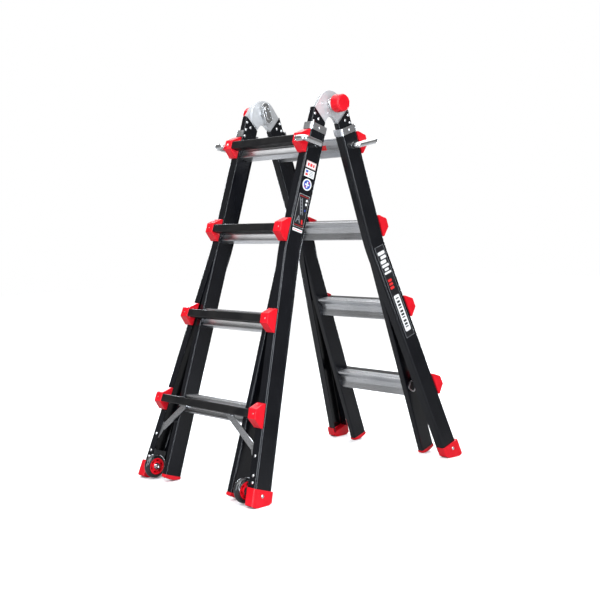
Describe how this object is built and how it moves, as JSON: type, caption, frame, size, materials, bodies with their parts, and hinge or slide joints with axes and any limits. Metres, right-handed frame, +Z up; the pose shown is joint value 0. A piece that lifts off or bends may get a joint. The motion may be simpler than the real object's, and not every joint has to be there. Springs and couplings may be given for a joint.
{
  "type": "articulated telescoping ladder",
  "caption": "Telescoping articulated step ladder with flared black rails, silver treads, red fittings, hinge knobs and front wheels.",
  "frame": {"origin": "on the ground, under the middle of the ladder as it stands open", "axes": "+X across the ladder to its right seen from the front, +Y from the wheeled front half to the rear half, +Z up"},
  "size_m": [0.5814, 0.9313, 1.2039],
  "materials": {
    "rail_black": "near-black satin coat on extruded aluminium",
    "rung_black": "black satin coat on a ribbed aluminium extrusion",
    "tread_silver": "satin extruded aluminium",
    "hinge_silver": "satin pressed steel",
    "bright_steel": "polished",
    "rivet_silver": "satin",
    "red_plastic": "moulded red, soft gloss",
    "tyre_black": "smooth black",
    "plate_black": "black paint",
    "plug_black": "moulded black",
    "label_white": "printed film, no text",
    "label_black": "printed film, no text",
    "label_red": "printed film, no text"
  },
  "bodies": {
    "front_inner": {"front_inner_rail_left": "rail_black", "front_inner_rail_right": "rail_black", "front_inner_treads": "tread_silver", "front_tread_plugs": "plug_black", "front_inner_end_caps": "red_plastic", "front_hinge_plates_left": "hinge_silver", "front_hinge_plates_right": "hinge_silver", "front_hinge_rivets": "rivet_silver", "hinge_collar_left": "bright_steel", "hinge_collar_right": "bright_steel", "knob_spring_left": "bright_steel", "knob_spring_right": "bright_steel"},
    "rear_inner": {"rear_inner_rail_left": "rail_black", "rear_inner_rail_right": "rail_black", "rear_inner_treads": "tread_silver", "rear_tread_plugs": "plug_black", "rear_inner_end_caps": "red_plastic", "rear_hinge_plates_left": "hinge_silver", "rear_hinge_plates_right": "hinge_silver", "rear_hinge_rivets": "rivet_silver", "rear_tread_label": "label_red"},
    "front_outer": {"front_outer_rail_left": "rail_black", "front_outer_rail_right": "rail_black", "front_outer_rungs": "rung_black", "front_rung_brackets": "red_plastic", "front_guide_straps": "tread_silver", "front_lock_bushes": "bright_steel", "front_foot_left": "red_plastic", "front_foot_right": "red_plastic", "front_braces": "tread_silver", "wheel_plates": "plate_black", "wheel_axles": "bright_steel", "front_outer_rivets": "rivet_silver", "front_labels": "label_white"},
    "rear_outer": {"rear_outer_rail_left": "rail_black", "rear_outer_rail_right": "rail_black", "rear_outer_rungs": "rung_black", "rear_rung_brackets": "red_plastic", "rear_guide_straps": "tread_silver", "rear_lock_bushes": "bright_steel", "rear_foot_left": "red_plastic", "rear_foot_right": "red_plastic", "rear_outer_rivets": "rivet_silver", "rear_labels": "label_black"},
    "knob_left": {"hinge_knob_left": "red_plastic", "lock_plate_left": "bright_steel"},
    "knob_right": {"hinge_knob_right": "red_plastic", "lock_plate_right": "bright_steel"},
    "wheel_left": {"wheel_tyre_left": "tyre_black", "wheel_hub_left": "red_plastic", "wheel_bearings_left": "bright_steel"},
    "wheel_right": {"wheel_tyre_right": "tyre_black", "wheel_hub_right": "red_plastic", "wheel_bearings_right": "bright_steel"},
    "hook_front_left": {"lock_hook_front_left": "bright_steel"},
    "hook_front_right": {"lock_hook_front_right": "bright_steel"},
    "hook_rear_left": {"lock_hook_rear_left": "bright_steel"},
    "hook_rear_right": {"lock_hook_rear_right": "bright_steel"}
  },
  "joints": [
    {"name": "fold", "type": "hinge", "parent": "front_inner", "child": "rear_inner", "pos_m": [0, 0.0055, 1.162], "axis": [1, 0, 0], "range_deg": [-36.4, 143.5]},
    {"name": "front_extension", "type": "slide", "parent": "front_inner", "child": "front_outer", "axis": [0, -0.313, -0.9498], "range_m": [0, 0.84]},
    {"name": "rear_extension", "type": "slide", "parent": "rear_inner", "child": "rear_outer", "axis": [0, 0.313, -0.9498], "range_m": [0, 0.84]},
    {"name": "hinge_lock_right", "type": "slide", "parent": "rear_inner", "child": "knob_right", "axis": [-1, 0, 0], "range_m": [0, 0.01], "stiffness_N_per_m": 600, "springref_m": -0.006},
    {"name": "hinge_lock_left", "type": "slide", "parent": "rear_inner", "child": "knob_left", "axis": [1, 0, 0], "range_m": [0, 0.01], "stiffness_N_per_m": 600, "springref_m": -0.006},
    {"name": "ladder_lock_front_right", "type": "slide", "parent": "front_outer", "child": "hook_front_right", "axis": [1, 0, 0], "range_m": [0, 0.014], "stiffness_N_per_m": 500, "springref_m": -0.006},
    {"name": "ladder_lock_front_left", "type": "slide", "parent": "front_outer", "child": "hook_front_left", "axis": [-1, 0, 0], "range_m": [0, 0.014], "stiffness_N_per_m": 500, "springref_m": -0.006},
    {"name": "ladder_lock_rear_right", "type": "slide", "parent": "rear_outer", "child": "hook_rear_right", "axis": [1, 0, 0], "range_m": [0, 0.014], "stiffness_N_per_m": 500, "springref_m": -0.006},
    {"name": "ladder_lock_rear_left", "type": "slide", "parent": "rear_outer", "child": "hook_rear_left", "axis": [-1, 0, 0], "range_m": [0, 0.014], "stiffness_N_per_m": 500, "springref_m": -0.006},
    {"name": "wheel_right", "type": "hinge", "parent": "front_outer", "child": "wheel_right", "pos_m": [0.227, -0.42803, 0.04139], "axis": [1, 0, 0], "continuous": true},
    {"name": "wheel_left", "type": "hinge", "parent": "front_outer", "child": "wheel_left", "pos_m": [-0.227, -0.42803, 0.04139], "axis": [1, 0, 0], "continuous": true}
  ]
}
